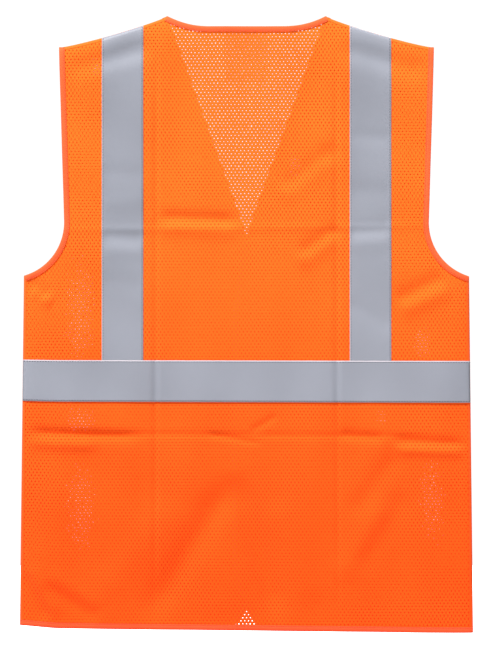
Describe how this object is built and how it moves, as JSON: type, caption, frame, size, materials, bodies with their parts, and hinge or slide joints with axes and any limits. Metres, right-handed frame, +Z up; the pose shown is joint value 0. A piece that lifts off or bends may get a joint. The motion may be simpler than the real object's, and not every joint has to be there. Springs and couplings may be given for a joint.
{
  "type": "high visibility vest",
  "caption": "Sleeveless orange mesh safety vest with grey reflective tapes over the shoulders and round the waist, bound edges and a front that closes with hook and loop.",
  "frame": {"origin": "midway between the two neck points, where the vest hangs from its wearer's shoulders or a hanger", "axes": "+Z up when worn, +X towards the wearer's left, +Y towards the wearer's back"},
  "size_m": [0.554, 0.0213, 0.75],
  "materials": {
    "mesh_cloth": "perforated fluorescent orange polyester knit, matt with a slight sheen",
    "reflective_tape": "silver grey retroreflective tape, smooth satin",
    "edge_binding": "folded woven polyester binding, matt",
    "closure_strip": "hook and loop strip, napped",
    "label_cloth": "plain white woven satin",
    "seam_thread": "overlocked polyester thread, matt"
  },
  "bodies": {
    "root": {"back_panel": "mesh_cloth", "left_front_side": "mesh_cloth", "right_front_side": "mesh_cloth", "back_waist_tape": "reflective_tape", "left_back_tape": "reflective_tape", "right_back_tape": "reflective_tape", "left_front_tape": "reflective_tape", "right_front_tape": "reflective_tape", "left_side_waist_tape": "reflective_tape", "right_side_waist_tape": "reflective_tape", "back_hem_binding": "edge_binding", "left_front_hem_binding": "edge_binding", "right_front_hem_binding": "edge_binding", "left_armhole_binding": "edge_binding", "right_armhole_binding": "edge_binding", "neck_binding": "edge_binding", "left_side_seam": "seam_thread", "right_side_seam": "seam_thread", "left_shoulder_seam": "seam_thread", "right_shoulder_seam": "seam_thread"},
    "left_front": {"left_front_flap": "mesh_cloth", "left_flap_waist_tape": "reflective_tape", "left_edge_binding": "edge_binding", "left_hook_strip": "closure_strip"},
    "right_front": {"right_front_flap": "mesh_cloth", "right_flap_waist_tape": "reflective_tape", "right_edge_binding": "edge_binding", "right_loop_strip": "closure_strip"},
    "label": {"neck_label": "label_cloth"}
  },
  "joints": [
    {"name": "left_front_open", "type": "hinge", "parent": "root", "child": "left_front", "pos_m": [0.095, -0.0125, -0.4], "axis": [0, 0, 1], "range_deg": [0, 150]},
    {"name": "right_front_open", "type": "hinge", "parent": "root", "child": "right_front", "pos_m": [-0.095, -0.0088, -0.4], "axis": [0, 0, -1], "range_deg": [0, 98]},
    {"name": "neck_label_swing", "type": "hinge", "parent": "root", "child": "label", "pos_m": [0, 0.00625, -0.02], "axis": [-1, 0, 0], "range_deg": [0, 75]}
  ],
  "couplings": [
    {"joint": "right_front_open", "follows": "left_front_open", "ratio": 0.65}
  ]
}
